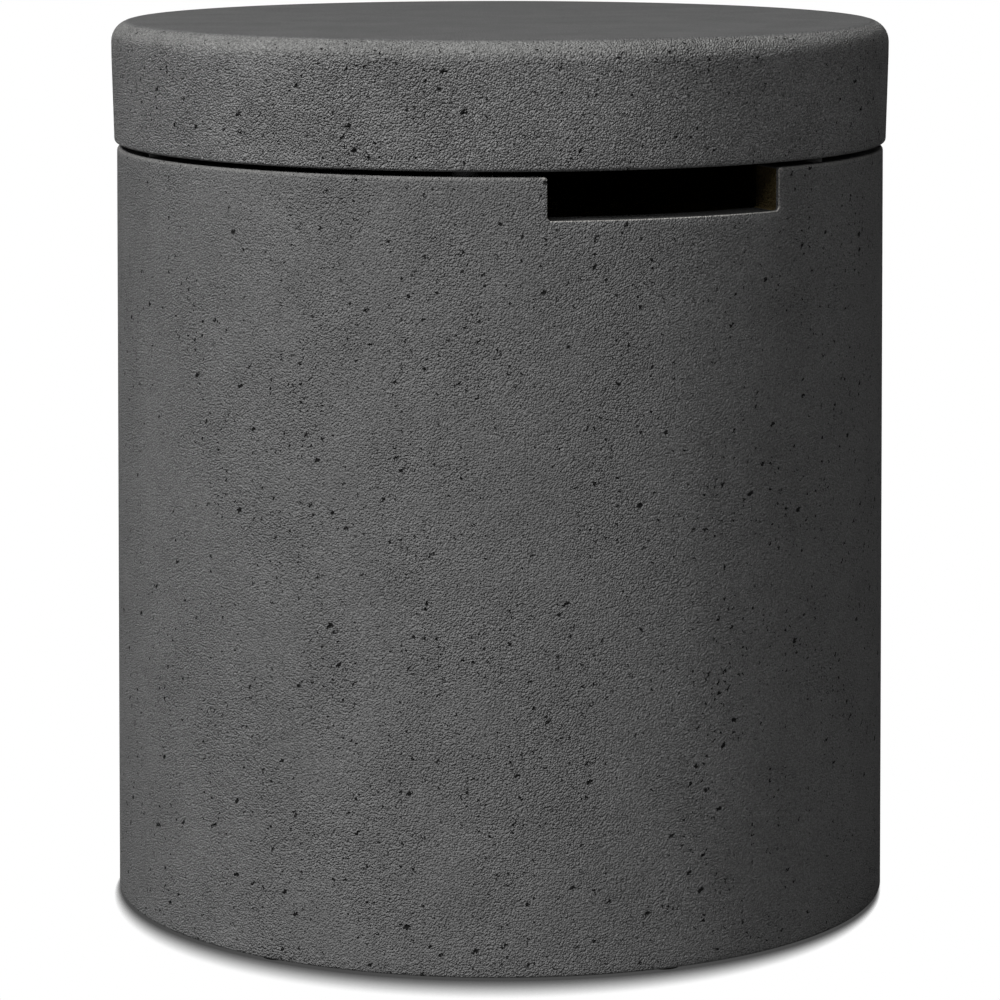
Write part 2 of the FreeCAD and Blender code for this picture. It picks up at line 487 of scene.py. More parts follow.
@dataclass(frozen=True)
class ShellFace:
    """Where a cast shell has its coloured face: a cone outside, and the planes that bound it.

    A pair of distances says where a mask begins and where it is full. The rim's and the slot's are measured
    from the top, the sill, the slot's side or the coloured face, as their names say.
    """

    foot_radius: float
    foot_z: float
    top_radius: float
    top_z: float
    coat: float
    open_above: float
    sill_z: float | None = None
    sill_half: float = 0.0
    # How pale the rim's edge gets: dust, and a painted highlight.
    rim_rub_and_highlight: float = 0.15
    trowelled: bool = False
    coat_blend: float = 0.8 * MM
    open_blend: float = 0.5 * MM
    rim_below_top: tuple[float, float] = (2.2 * MM, 0.8 * MM)
    rim_depth: tuple[float, float] = (2.6 * MM, 1.6 * MM)
    smooth_below_top: float = 1.2 * MM
    smooth_blend: float = 1.0 * MM
    worn_below_top: float = 12.5 * MM
    worn_blend: float = 7 * MM
    never_above_top: float = 1.0
    slot_beyond_side: tuple[float, float] = (5.5 * MM, 4.5 * MM)
    slot_below_sill: tuple[float, float] = (2.5 * MM, 1.5 * MM)
    shade_depth: tuple[float, float] = (1.2 * MM, 3.5 * MM)
    # Where the slot's pale edges begin and end: rubbing, and a painted highlight.
    rub_and_highlight_starts: tuple[float, float] = (0.08 * MM, 0.4 * MM)
    rub_and_highlight_ends: tuple[float, float] = (1.7 * MM, 1.0 * MM)

    def masks(self, tree: Nodes, place: Socket) -> Masks:
        """Add the nodes that tell one part of the shell from another.

        Args:
            tree: The material's node tree.
            place: Object coordinates.

        Returns:
            Masks from 0 to 1 named backing, arris (pale edges: dust and painted highlight), smooth, worn,
            shade (painted shade on the sill) and sunk; and skin, the unrolled wall.
        """
        xyz = add_node(tree, "SeparateXYZ", {0: place}).outputs
        flat = compute(tree, "MULTIPLY", place, (1, 1, 0), kind="VectorMath")
        radius = add_node(tree, "VectorMath", {0: flat}, operation="LENGTH").outputs["Value"]
        slope = (self.top_radius - self.foot_radius) / (self.top_z - self.foot_z)
        outer = compute(tree, "MULTIPLY_ADD", xyz["Z"], slope, self.foot_radius - slope * self.foot_z)
        depth = compute(tree, "SUBTRACT", outer, radius)
        inside = remap(tree, depth, (self.coat, self.coat + self.coat_blend))
        under = remap(tree, xyz["Z"], (self.open_above + self.open_blend, self.open_above))
        backing = compute(tree, "MULTIPLY", inside, under)
        # The rim's outer edge is pale: dust, and a painted highlight where the lit arris shows.
        start, full = self.rim_below_top
        high = remap(tree, xyz["Z"], (self.top_z - start, self.top_z - full))
        edge = remap(tree, depth, self.rim_depth)
        arris = compute(tree, "MULTIPLY", high, edge)
        arris = compute(tree, "MULTIPLY", arris, self.rim_rub_and_highlight)
        shade = 0.0
        if self.sill_z is not None:
            backing, arris, shade = self.slot_masks(tree, xyz, depth, backing, arris)
        never = self.top_z + self.never_above_top
        smooth_from = self.top_z - self.smooth_below_top if self.trowelled else never
        smooth = remap(tree, xyz["Z"], (smooth_from, smooth_from + self.smooth_blend))
        worn_from = self.top_z - self.worn_below_top if self.trowelled else never
        worn = remap(tree, xyz["Z"], (worn_from, worn_from + self.worn_blend))
        worn = compute(tree, "SUBTRACT", worn, smooth, clamp=True)
        sunk = add_node(tree, "Attribute", attribute_name=PIT_LAYER).outputs["Fac"]
        return {"backing": backing, "arris": arris, "smooth": smooth, "worn": worn, "shade": shade,
                "sunk": sunk, "skin": self.unrolled(tree, xyz, radius)}

    def slot_masks(self, tree: Nodes, xyz: dict[str, Socket], depth: Socket, backing: Socket,
                   arris: Socket) -> tuple[Socket, Socket, Socket]:
        """Take the coloured sill out of the backing, and add the slot's edges, pale from rubbing and painted
        highlight, to the arris.

        Args:
            tree: The material's node tree.
            xyz: The three coordinates.
            depth: How far a point lies inside the coloured face.
            backing: 1 on the backing.
            arris: 1 on an edge that is pale from rubbing and painted highlight.

        Returns:
            The two masks, changed near the slot, and 1 on the sill, where the face is darkened as painted
            shade.
        """
        side = compute(tree, "ABSOLUTE", xyz["X"])
        between = remap(tree, side, (self.sill_half, self.sill_half - self.coat_blend))
        start, full = self.slot_beyond_side
        near = remap(tree, side, (self.sill_half + start, self.sill_half + full))
        start, full = self.slot_below_sill
        above = remap(tree, xyz["Z"], (self.sill_z - start, self.sill_z - full))
        sill = compute(tree, "MULTIPLY", between, above)
        backing = compute(tree, "SUBTRACT", backing, sill, clamp=True)
        slot = compute(tree, "MULTIPLY", near, above)
        # Painted shade on the sill, deeper in under the lid.
        shade = remap(tree, depth, self.shade_depth)
        shade = compute(tree, "MULTIPLY", shade, sill)
        # The slot's edges are pale: rubbing, and a painted highlight.
        rubbed_and_highlight = remap(tree, depth, self.rub_and_highlight_starts)
        not_deep = remap(tree, depth, self.rub_and_highlight_ends)
        rubbed_and_highlight = compute(tree, "MULTIPLY", rubbed_and_highlight, not_deep)
        rubbed_and_highlight = compute(tree, "MULTIPLY", rubbed_and_highlight, slot)
        arris = compute(tree, "MAXIMUM", arris, rubbed_and_highlight)
        return backing, arris, shade

    def unrolled(self, tree: Nodes, xyz: dict[str, Socket], radius: Socket) -> Socket:
        """Add the place on the wall as if it were unrolled flat, its seam at the back.

        Args:
            tree: The material's node tree.
            xyz: The three coordinates.
            radius: Distance from the axis.

        Returns:
            Length round the wall and height up it, in metres.
        """
        towards = compute(tree, "MULTIPLY", xyz["Y"], -1.0)
        turn = compute(tree, "ARCTAN2", xyz["X"], towards)
        along = compute(tree, "MULTIPLY", turn, self.top_radius)
        up = compute(tree, "SUBTRACT", xyz["Z"], radius)
        return add_node(tree, "CombineXYZ", {0: along, 1: up}).outputs[0]


@dataclass(frozen=True)
class Bubbles:
    """Pits of one size that are too many to model: one in some cells of a loose net on the wall."""

    spacing: float
    share: float
    radius: float
    stretch: float = 1.0
    lean: float = 0.0


@dataclass(frozen=True)
class CastConcrete:
    """Charcoal fibre-reinforced concrete with an undyed tan backing, cast against a mould.

    The face is matt and neutral, with the fine grain of orange peel and small pits, painted dark as painted
    shade.
    The grain's hollows and the slot's sill are darker as painted shade, the trowelled top darker too, rough
    patches a little lighter as painted light, and the edges pale with dust and painted highlight. Inside, and
    where the slot cuts through the wall, the undyed backing shows as a warm, fibrous tan.
    """

    name: str
    face: ShellFace
    face_colour: str = "#666666"
    # Pale colour of the edges: dust, and a painted highlight.
    dust_and_highlight_colour: str = "#a09e9a"
    # Painted shade in the pits.
    pit_painted_shade_colour: str = "#1c1c1c"
    backing_colour: str = "#5d5136"
    fibre_colour: str = "#4a412d"
    worn_colour: str = "#757574"
    # The trowelled top's colour, darkened as painted shade to offset the light from above.
    top_colour_with_painted_shade: str = "#565656"
    # Painted shade on the slot's sill.
    sill_painted_shade_colour: str = "#3a3a3a"
    sand_size: float = 1.1 * MM
    sand_height: float = 1.1 * MM
    grain_size: float = 0.9 * MM
    grain_height: float = 0.8 * MM
    peel_size: float = 2.4 * MM
    peel_height: float = 0.25 * MM
    grit_size: float = 0.7 * MM
    grit_tone: float = 0.5
    bubbles: tuple[Bubbles, ...] = (
        Bubbles(spacing=3.0 * MM, share=0.18, radius=0.55 * MM),
        Bubbles(spacing=6.5 * MM, share=0.18, radius=0.9 * MM),
        Bubbles(spacing=9 * MM, share=0.20, radius=0.75 * MM, stretch=3.0, lean=48),
        Bubbles(spacing=17 * MM, share=0.30, radius=1.3 * MM, stretch=1.8, lean=25),
    )
    bubble_crowding: float = 0.08
    bubble_smallest: float = 0.45
    bubble_rim: float = 0.2
    bubble_depth: float = 0.5 * MM
    bubble_bend: float = 3.6 * MM
    bend_size: float = 1.5 * MM
    noise_range: tuple[float, float] = (0.3, 0.7)
    mottle_size: float = 34 * MM
    mottle_tone: tuple[float, float] = (0.92, 1.08)
    # Hollows of the grain painted darker, as painted shade, and its peaks lighter, as rubbing.
    speck_and_hollow_shade_tone: tuple[float, float] = (0.82, 1.18)
    worn_grain: float = 0.55
    smooth_grain: float = 0.16
    smooth_grit: float = 0.3
    patch_size: float = PATCH
    patch_range: tuple[float, float] = (0.36, 0.64)
    patch_change: float = 0.3
    # How much lighter rough patches are painted, as painted light against the shade of their grain.
    patch_painted_light_tone: float = 0.05
    fibre_size: float = 2.4 * MM
    fibre_range: tuple[float, float] = (0.4, 0.6)
    roughness: float = 0.88
    ior: float = 1.45
    specular: float = 0.02

    def build(self) -> bpy.types.Material:
        """Build the finish and return it."""
        material, tree = new_material(self.name)
        place = add_node(tree, "TexCoord").outputs["Object"]
        mask = self.face.masks(tree, place)
        patches = cloud_noise(tree, place, self.patch_size, Detail=2.0)
        mask["rough"] = remap(tree, patches, self.patch_range)
        pit = self.small_pits(tree, place, mask)
        rise, tone = self.grain(tree, place, mask, pit)
        colour = self.colours(tree, place, mask, pit, tone)
        bump = add_node(tree, "Bump", {"Height": rise, "Distance": 1.0, "Strength": 1.0}).outputs[0]
        shader = add_node(tree, "BsdfPrincipled", {
            "Base Color": colour, "Roughness": self.roughness, "IOR": self.ior,
            "Specular IOR Level": self.specular, "Normal": bump})
        add_node(tree, "OutputMaterial", {"Surface": shader.outputs[0]})
        return material

    def small_pits(self, tree: Nodes, place: Socket, mask: Masks) -> Socket:
        """Add the smallest pits, each of chance size and bent out of round.

        Args:
            tree: The material's node tree.
            place: Object coordinates.
            mask: The masks of the shell's face.

        Returns:
            1 in a pit and 0 round it.
        """
        drift = cloud_noise(tree, place, self.bend_size, Detail=1.0, output="Color")
        drift = compute(tree, "SUBTRACT", drift, (0.5, 0.5, 0.5), kind="VectorMath")
        bend = (self.bubble_bend, self.bubble_bend, 0.0)
        bent = compute(tree, "MULTIPLY_ADD", drift, bend, mask["skin"], kind="VectorMath")
        pits = None
        for size in self.bubbles:
            lean = (0, 0, math.radians(size.lean))
            stretch = (size.stretch, 1, 1)
            drawn = add_node(tree, "Mapping", {"Vector": bent, "Rotation": lean, "Scale": stretch},
                             vector_type="TEXTURE").outputs[0]
            net = add_node(tree, "TexVoronoi", {"Vector": drawn, "Scale": 1 / size.spacing},
                           voronoi_dimensions="2D").outputs
            luck = red_of(tree, net["Color"])
            luck = compute(tree, "MULTIPLY_ADD", mask["rough"], 2 * self.bubble_crowding, luck)
            luck = compute(tree, "SUBTRACT", luck, self.bubble_crowding)
            widest = size.radius / size.spacing
            reach = remap(tree, luck, (1 - size.share, 1.0), (self.bubble_smallest * widest, widest))
            chosen = compute(tree, "GREATER_THAN", luck, 1 - size.share)
            within = compute(tree, "SUBTRACT", reach, net["Distance"])
            pit = remap(tree, within, (0.0, self.bubble_rim * widest))
            pit = compute(tree, "MULTIPLY", pit, chosen)
            pits = compute(tree, "MAXIMUM", pits or 0.0, pit)
        covered = compute(tree, "MAXIMUM", mask["smooth"], mask["backing"])
        open_face = compute(tree, "SUBTRACT", 1.0, covered)
        return compute(tree, "MULTIPLY", pits, open_face)

    def grain(self, tree: Nodes, place: Socket, mask: Masks, pit: Socket) -> tuple[Socket, Socket]:
        """Add the grain that the mould leaves, the slow change of tone that uneven drying leaves, painted
        shade in the grain's hollows, and painted light on its rough patches.

        Args:
            tree: The material's node tree.
            place: Object coordinates.
            mask: The masks of the shell's face.
            pit: 1 in a pit.

        Returns:
            The surface's height in metres, and a factor for its colour.
        """
        fine = cloud_noise(tree, place, self.grain_size, Detail=1.0, Roughness=0.5)
        peel = cloud_noise(tree, place, self.peel_size, Detail=1.0)
        mottle = cloud_noise(tree, place, self.mottle_size, Detail=5.0, Roughness=0.62)
        rise = compute(tree, "MULTIPLY", fine, self.grain_height)
        rise = compute(tree, "MULTIPLY_ADD", peel, self.peel_height, rise)
        sand = cells(tree, place, self.sand_size, "Distance")
        rough = remap(tree, mask["rough"], (0.0, 1.0), (1 - self.patch_change, 1 + self.patch_change))
        sand = compute(tree, "MULTIPLY", sand, rough)
        rise = compute(tree, "MULTIPLY_ADD", sand, -self.sand_height, rise)
        rise = compute(tree, "MULTIPLY_ADD", pit, -self.bubble_depth, rise)
        keep = remap(tree, mask["worn"], (0.0, 1.0), (1.0, self.worn_grain))
        keep = add_node(tree, "Mix", {0: mask["smooth"], 2: keep, 3: self.smooth_grain}).outputs[0]
        rise = compute(tree, "MULTIPLY", rise, keep)
        slow = remap(tree, mottle, self.noise_range, self.mottle_tone)
        # Hollows of the grain are darker, as painted shade, and its peaks lighter, as rubbing.
        speck_and_hollow_shade = remap(tree, fine, self.noise_range, self.speck_and_hollow_shade_tone)
        tone = compute(tree, "MULTIPLY", slow, speck_and_hollow_shade)
        # Rough patches are painted lighter, as painted light that offsets the shade of their coarser grain.
        rough_patch_painted_light = remap(tree, mask["rough"], (0.0, 1.0), (1 - self.patch_painted_light_tone, 1 + self.patch_painted_light_tone))
        tone = compute(tree, "MULTIPLY", tone, rough_patch_painted_light)
        grit = red_of(tree, cells(tree, place, self.grit_size, "Color"))
        reach = remap(tree, mask["smooth"], (0.0, 1.0), (self.grit_tone, self.smooth_grit * self.grit_tone))
        grit = compute(tree, "SUBTRACT", grit, 0.5)
        grit = compute(tree, "MULTIPLY_ADD", grit, reach, 1.0)
        tone = compute(tree, "MULTIPLY", tone, grit)
        return rise, tone

    def colours(self, tree: Nodes, place: Socket, mask: Masks, pit: Socket, tone: Socket) -> Socket:
        """Add the colours of face, arrises, pits and backing, with painted shade on the sill, the top and in
        the pits, and painted highlight on the arrises.

        Args:
            tree: The material's node tree.
            place: Object coordinates.
            mask: The masks of the shell's face.
            pit: 1 in a pit.
            tone: Factor for the colour.

        Returns:
            The surface's colour.
        """
        face = blend(tree, mask["worn"], self.face_colour, self.worn_colour)
        # The trowelled top has its own colour, darkened as painted shade to offset the light from above.
        face = blend(tree, mask["smooth"], face, self.top_colour_with_painted_shade)
        # The slot's sill is darkened as painted shade, the shade of the lid over it.
        face = blend(tree, mask["shade"], face, self.sill_painted_shade_colour)
        # Edges are pale with dust and a painted highlight.
        face = blend(tree, mask["arris"], face, self.dust_and_highlight_colour)
        face = scaled(tree, face, tone)
        # Pits are painted near black: painted shade in their hollows.
        hollow = compute(tree, "MAXIMUM", pit, mask["sunk"])
        face = blend(tree, hollow, face, self.pit_painted_shade_colour)
        fibres = cloud_noise(tree, place, self.fibre_size, Detail=4.0, Distortion=1.6)
        strand = remap(tree, fibres, self.fibre_range)
        backing = blend(tree, strand, self.fibre_colour, self.backing_colour)
        backing = scaled(tree, backing, tone)
        return blend(tree, mask["backing"], face, backing)


@dataclass(frozen=True)
class MouldedPolymer:
    """Rubber or plastic from a mould: one colour all through, with a fine matt grain and slight scuffs."""

    name: str
    colour: str
    worn_colour: str
    roughness: float
    grain_size: float
    grain_height: float
    roughness_spread: float = 0.08
    scuff_size: float = 9 * MM
    scuff_range: tuple[float, float] = (0.45, 0.75)
    ior: float = 1.5
    specular: float = 0.5

    def build(self) -> bpy.types.Material:
        """Build the finish and return it."""
        material, tree = new_material(self.name)
        place = add_node(tree, "TexCoord").outputs["Object"]
        grain = cloud_noise(tree, place, self.grain_size, Detail=3.0, Roughness=0.6)
        cloud = cloud_noise(tree, place, self.scuff_size, Detail=3.0)
        scuff = remap(tree, cloud, self.scuff_range)
        colour = blend(tree, scuff, self.colour, self.worn_colour)
        spread = (self.roughness - self.roughness_spread, self.roughness + self.roughness_spread)
        dull = remap(tree, grain, (0.0, 1.0), spread)
        rise = compute(tree, "MULTIPLY", grain, self.grain_height)
        bump = add_node(tree, "Bump", {"Height": rise, "Distance": 1.0}).outputs[0]
        shader = add_node(tree, "BsdfPrincipled", {
            "Base Color": colour, "Roughness": dull, "IOR": self.ior, "Specular IOR Level": self.specular,
            "Normal": bump})
        add_node(tree, "OutputMaterial", {"Surface": shader.outputs[0]})
        return material


@dataclass(frozen=True)
class StainlessSteel:
    """Stainless steel, cold headed and tumbled: a soft satin with fine scratches every way."""

    name: str
    colour: str = "#b9b7b2"
    roughness: float = 0.32
    roughness_spread: tuple[float, float] = (-0.1, 0.14)
    scratch_size: float = 0.5 * MM
    scratch_depth: float = 0.01 * MM
    scratch_range: tuple[float, float] = (0.3, 0.7)

    def build(self) -> bpy.types.Material:
        """Build the finish and return it."""
        material, tree = new_material(self.name)
        place = add_node(tree, "TexCoord").outputs["Object"]
        scratch = cloud_noise(tree, place, self.scratch_size, Detail=4.0, Distortion=2.5)
        low, high = self.roughness_spread
        dull = remap(tree, scratch, self.scratch_range, (self.roughness + low, self.roughness + high))
        rise = compute(tree, "MULTIPLY", scratch, self.scratch_depth)
        bump = add_node(tree, "Bump", {"Height": rise, "Distance": 1.0}).outputs[0]
        shader = add_node(tree, "BsdfPrincipled", {
            "Base Color": linear(self.colour), "Metallic": 1.0, "Roughness": dull, "Normal": bump})
        add_node(tree, "OutputMaterial", {"Surface": shader.outputs[0]})
        return material


@dataclass
class CastBody:
    """The drafted body: thin wall, thick flanges at rim and foot, and the hose slot in the rim."""

    foot_z: float = 1.5 * MM
    rim_z: float = 439.5 * MM
    rim_radius: float = 222.2 * MM
    draft: float = 4.78 * MM
    wall: float = 11 * MM
    rim_flange_width: float = 25 * MM
    rim_flange_height: float = 50 * MM
    foot_flange_width: float = 24 * MM
    foot_flange_height: float = 28 * MM
    taper_height: float = 22 * MM
    rim_edge_radius: float = 2 * MM
    foot_edge_radius: float = 1.5 * MM
    slot_width: float = 140 * MM
    slot_depth: float = 23.5 * MM
    slot_corner_radius: float = 1.8 * MM
    slot_arris: float = 0.8 * MM
    band_drop: float = 6 * MM
    bumper_recess_radius: float = 7.2 * MM
    bumper_recess_depth: float = 1.0 * MM
    pad_recess_radius: float = 9.2 * MM
    pad_recess_depth: float = 1.5 * MM
    columns: int = 392
    row: float = 3.6 * MM
    row_by_slot: float = 5 * MM
    pit_margin: float = 4 * MM
    pit_margin_below_slot: float = 5 * MM
    pit_margin_beside_slot: float = 6 * MM
    pit_sizes: tuple[PitSize, ...] = (
        PitSize(count=150, radius=1.25 * MM, depth=1.1 * MM, segments=2, seed=13),
        PitSize(count=420, radius=0.85 * MM, depth=0.8 * MM, segments=2, seed=12),
        PitSize(count=1500, radius=0.6 * MM, depth=0.6 * MM, segments=1, seed=11),
    )

    @property
    def foot_radius(self) -> float:
        """Outer radius at the foot."""
        return self.rim_radius + self.draft

    @property
    def mouth_radius(self) -> float:
        """Inner radius at the rim."""
        return self.rim_radius - self.rim_flange_width

    @property
    def foot_opening_radius(self) -> float:
        """Inner radius at the foot."""
        return self.foot_radius - self.foot_flange_width

    @property
    def sill_z(self) -> float:
        """Height of the slot's sill."""
        return self.rim_z - self.slot_depth

    @property
    def band_z(self) -> float:
        """Height of a level ring that keeps the slot's soft corners apart from the tall wall below."""
        return self.sill_z - self.band_drop

    def outer_radius(self, z: float) -> float:
        """Outer radius at a height."""
        return self.foot_radius - self.draft * (z - self.foot_z) / (self.rim_z - self.foot_z)

    def corners(self) -> list[Corner]:
        """Section of the shell: up the outside from the foot, over the rim and down the inside."""
        flange_low = self.rim_z - self.rim_flange_height
        taper_low = flange_low - self.taper_height
        flange_high = self.foot_z + self.foot_flange_height
        taper_high = flange_high + self.taper_height
        return [
            Corner(self.foot_radius, self.foot_z, self.foot_edge_radius, 3),
            Corner(self.outer_radius(self.band_z), self.band_z),
            Corner(self.outer_radius(self.sill_z), self.sill_z),
            Corner(self.rim_radius, self.rim_z, self.rim_edge_radius, 4),
            Corner(self.mouth_radius, self.rim_z, self.rim_edge_radius, 3),
            Corner(self.mouth_radius, self.sill_z),
            Corner(self.mouth_radius, flange_low),
            Corner(self.outer_radius(taper_low) - self.wall, taper_low),
            Corner(self.outer_radius(taper_high) - self.wall, taper_high),
            Corner(self.foot_opening_radius, flange_high),
            Corner(self.foot_opening_radius, self.foot_z, self.foot_edge_radius, 3),
        ]

    def column_of(self, point: Vector) -> float:
        """Column that a point lies in, counted from the front, negative to the left."""
        return math.atan2(point.x, -point.y) * self.columns / (2 * math.pi)

    def is_outside(self, point: Vector) -> bool:
        """Whether a point of the rim lies nearer to the outer wall than to the mouth."""
        return radius_of(point) > self.rim_radius - self.rim_flange_width / 2

    def turn_shell(self) -> bpy.types.Object:
        """Turn the shell and join its first and last ring under the foot."""
        profile = turned_profile(self.corners(), closed=True)
        piece = turn_rings("body_shell_cast", self.columns, profile)
        ends = (profile[0][0], profile[-1][0])

        def on_end(points: Points, _: Vector) -> bool:
            level = all(abs(point.z - self.foot_z) < CLOSE for point in points)
            return level and any(all(abs(radius_of(p) - end) < CLOSE for p in points) for end in ends)

        select_where(piece, Kind.EDGE, on_end)
        bpy.ops.mesh.bridge_edge_loops()
        return piece

    def cut_slot(self, piece: bpy.types.Object) -> None:
        """Open the hose slot in the front of the rim, with plane jambs and a flat sill.

        Args:
            piece: The shell in edit mode, its walls cut into rows.
        """
        half = self.slot_width / 2
        outer_column = round(math.asin(half / self.rim_radius) * self.columns / (2 * math.pi))
        inner_column = round(math.asin(half / self.mouth_radius) * self.columns / (2 * math.pi))
        low = self.sill_z - CLOSE

        def in_slot(points: Points, _: Vector) -> bool:
            if any(point.z < low for point in points):
                return False
            bound = outer_column if all(self.is_outside(point) for point in points) else inner_column
            return all(abs(self.column_of(point)) < bound + COLUMN_SLACK for point in points)

        select_where(piece, Kind.FACE, in_slot)
        bpy.ops.mesh.delete(type="FACE")

        for side in (-1, 1):
            for column, outside in ((outer_column, True), (inner_column, False)):

                def on_jamb(points: Points, _: Vector) -> bool:
                    point = points[0]
                    right_wall = point.z > low and self.is_outside(point) == outside
                    return right_wall and abs(self.column_of(point) - side * column) < COLUMN_SLACK

                select_where(piece, Kind.VERT, on_jamb)
                bpy.ops.transform.resize(value=(0, 1, 1), center_override=(side * half, 0, 0))

            def on_rim_corner(points: Points, _: Vector) -> bool:
                point = points[0]
                column = side * self.column_of(point)
                slack = 0.3
                top = point.z > self.rim_z - CLOSE
                if self.is_outside(point):
                    return top and outer_column - slack < column < inner_column + slack
                return top and abs(side * point.x - half) < CLOSE

            select_where(piece, Kind.VERT, on_rim_corner)
            bpy.ops.mesh.edge_face_add()

        def on_sill(points: Points, _: Vector) -> bool:
            return all(
                abs(p.z - self.sill_z) < CLOSE and abs(p.x) < half + CLOSE and p.y < 0 for p in points)

        select_where(piece, Kind.EDGE, on_sill)
        bpy.ops.mesh.bridge_edge_loops()
        for side in (-1, 1):

            def on_side(points: Points, _: Vector) -> bool:
                point = points[0]
                return point.z > low and abs(side * point.x - half) < CLOSE and point.y < 0

            select_where(piece, Kind.VERT, on_side)
            bpy.ops.mesh.edge_face_add()

    def soften_slot(self, piece: bpy.types.Object) -> None:
        """Round the slot's lower corners, and then its arrises all round.

        Args:
            piece: The shell in edit mode, with the slot cut.
        """
        half = self.slot_width / 2
        margin = 0.05 * MM

        def is_lower_end(point: Vector) -> bool:
            on_side = abs(abs(point.x) - half) < CLOSE and point.y < 0
            return on_side and abs(point.z - self.sill_z) < CLOSE

        def joins_corner(points: Points, _: Vector) -> bool:
            away = [point for point in points if not is_lower_end(point)]
            if len(away) != 1:
                return False
            level = abs(away[0].z - self.sill_z) < CLOSE
            beyond = abs(away[0].x) > half + 0.5 * MM
            return (level and beyond) or away[0].z < self.sill_z - 1 * MM

        select_where(piece, Kind.EDGE, joins_corner)
        bpy.ops.mesh.dissolve_edges(use_verts=False)

        def is_corner(points: Points, _: Vector) -> bool:
            across = abs(radius_of(points[0]) - radius_of(points[1])) > 5 * MM
            return across and all(is_lower_end(point) for point in points)

        select_where(piece, Kind.EDGE, is_corner)
        bpy.ops.mesh.bevel(offset=self.slot_corner_radius, segments=4, clamp_overlap=False)

        def lines_slot(points: Points, normal: Vector) -> bool:
            low, wide = self.sill_z - margin, half + margin
            return abs(normal.y) < 0.2 and all(p.z > low and abs(p.x) < wide and p.y < 0 for p in points)

        select_where(piece, Kind.FACE, lines_slot)
        bpy.ops.mesh.region_to_loop()
        bpy.ops.mesh.bevel(offset=self.slot_arris, segments=3, clamp_overlap=False)

    def recess_tools(self, bumper_angles: list[float], pad_angles: list[float]) -> list[bpy.types.Object]:
        """Rods that cut the round recesses for bumpers and foot pads.

        Args:
            bumper_angles: Places of the bumpers in degrees from the front.
            pad_angles: Places of the foot pads in degrees from the front.

        Returns:
            The rods.
        """
        bumper_circle = self.rim_radius - self.rim_flange_width / 2
        pad_circle = self.foot_radius - self.foot_flange_width / 2
        rows = (
            (bumper_angles, bumper_circle, self.bumper_recess_radius,
             self.rim_z - self.bumper_recess_depth, self.rim_z + PAST),
            (pad_angles, pad_circle, self.pad_recess_radius,
             self.foot_z - PAST, self.foot_z + self.pad_recess_depth),
        )
        return [
            add_rod(radius, (front_point(circle, angle, low), front_point(circle, angle, high)), DISC_CORNERS)
            for angles, circle, radius, low, high in rows for angle in angles]

    def may_hold_pit(self, point: Vector) -> bool:
        """Whether a point lies on the open outer wall, clear of foot, rim and slot."""
        on_wall = radius_of(point) > self.outer_radius(point.z) - 0.05 * MM
        clear = self.foot_z + self.pit_margin < point.z < self.rim_z - self.pit_margin
        beside = abs(point.x) < self.slot_width / 2 + self.pit_margin_beside_slot and point.y < 0
        return on_wall and clear and not (beside and point.z > self.sill_z - self.pit_margin_below_slot)

    def build(self, bumper_angles: list[float], pad_angles: list[float]) -> bpy.types.Object:
        """Build the body.

        Args:
            bumper_angles: Places of the bumpers in degrees from the front.
            pad_angles: Places of the foot pads in degrees from the front.

        Returns:
            The finished body.
        """
        piece = self.turn_shell()

        def on_wall(points: Points, _: Vector) -> bool:
            return radius_of(points[0]) > self.rim_radius - 1 * MM

        subdivide_strip(piece, (self.sill_z, self.rim_z - self.rim_edge_radius), self.row_by_slot, on_wall)
        subdivide_strip(piece, (self.foot_z + self.foot_edge_radius, self.band_z), self.row, on_wall)
        for size in self.pit_sizes:
            log.info("body: %d pits of %.2f mm", size.sink(piece, self.may_hold_pit), size.radius / MM)
        self.cut_slot(piece)
        turn_faces_outward()
        self.soften_slot(piece)
        bpy.ops.object.mode_set(mode="OBJECT")
        cut_with(piece, self.recess_tools(bumper_angles, pad_angles))
        bpy.ops.object.mode_set(mode="EDIT")
        close_and_shade(piece)
        face = ShellFace(
            foot_radius=self.foot_radius, foot_z=self.foot_z, top_radius=self.rim_radius, top_z=self.rim_z,
            coat=3 * MM, open_above=self.rim_z - 1 * MM, sill_z=self.sill_z,
            sill_half=self.slot_width / 2 - 2.5 * MM)
        give_material(piece, CastConcrete(name="body_cast_concrete", face=face).build())
        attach(piece, Body.BASE.value)
        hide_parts("body_shell")
        return piece


